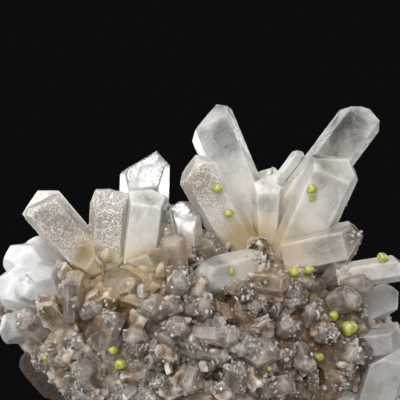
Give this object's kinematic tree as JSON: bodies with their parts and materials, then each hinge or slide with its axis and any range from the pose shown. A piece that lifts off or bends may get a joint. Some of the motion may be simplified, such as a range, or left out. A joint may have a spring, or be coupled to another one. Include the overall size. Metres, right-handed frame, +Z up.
{
  "type": "celestite specimen",
  "caption": "Mineral specimen: blunt celestite crystals in two fans on a crust of small crystals over limestone, with sulphur grains, cut flat below to rest on.",
  "frame": {"origin": "on the flat cut underside of the limestone, below the middle of the specimen", "axes": "+Z up from the cut face, -Y towards the side with the large crystals and the druse, +X to the right when that side is seen"},
  "size_m": [0.103, 0.0612, 0.0845],
  "materials": {
    "limestone": "matt broken limestone, grey with rusty brown along its rim",
    "celestite_druse": "glassy small crystals, taupe brown in the hollows and pale on the crests",
    "clear_celestite": "glassy, clear towards the tips and milky or yellowish at the roots, with brown dust on the front",
    "white_celestite": "glassy and milky white",
    "sulphur": null
  },
  "bodies": {
    "root": {"limestone_matrix": "limestone", "crystal_crust": "celestite_druse", "right_crystal_fan": "clear_celestite", "left_crystal_fan": "clear_celestite", "white_crystal_cluster": "white_celestite", "oval_front_crystal": "clear_celestite", "clear_pointed_crystal": "clear_celestite", "right_spear_crystal": "clear_celestite", "lower_right_crystals": "white_celestite", "right_edge_crystals": "white_celestite", "rear_crystal_fan": "clear_celestite", "rear_side_crystals": "clear_celestite", "rear_left_crystals": "clear_celestite", "sulphur_grain_01": "sulphur", "sulphur_grain_02": "sulphur", "sulphur_grain_03": "sulphur", "sulphur_grain_04": "sulphur", "sulphur_grain_05": "sulphur", "sulphur_grain_06": "sulphur", "sulphur_grain_07": "sulphur", "sulphur_grain_08": "sulphur", "sulphur_grain_09": "sulphur", "sulphur_grain_10": "sulphur", "sulphur_grain_11": "sulphur", "sulphur_grain_12": "sulphur", "sulphur_grain_13": "sulphur", "sulphur_grain_14": "sulphur", "sulphur_grain_15": "sulphur"}
  },
  "joints": []
}
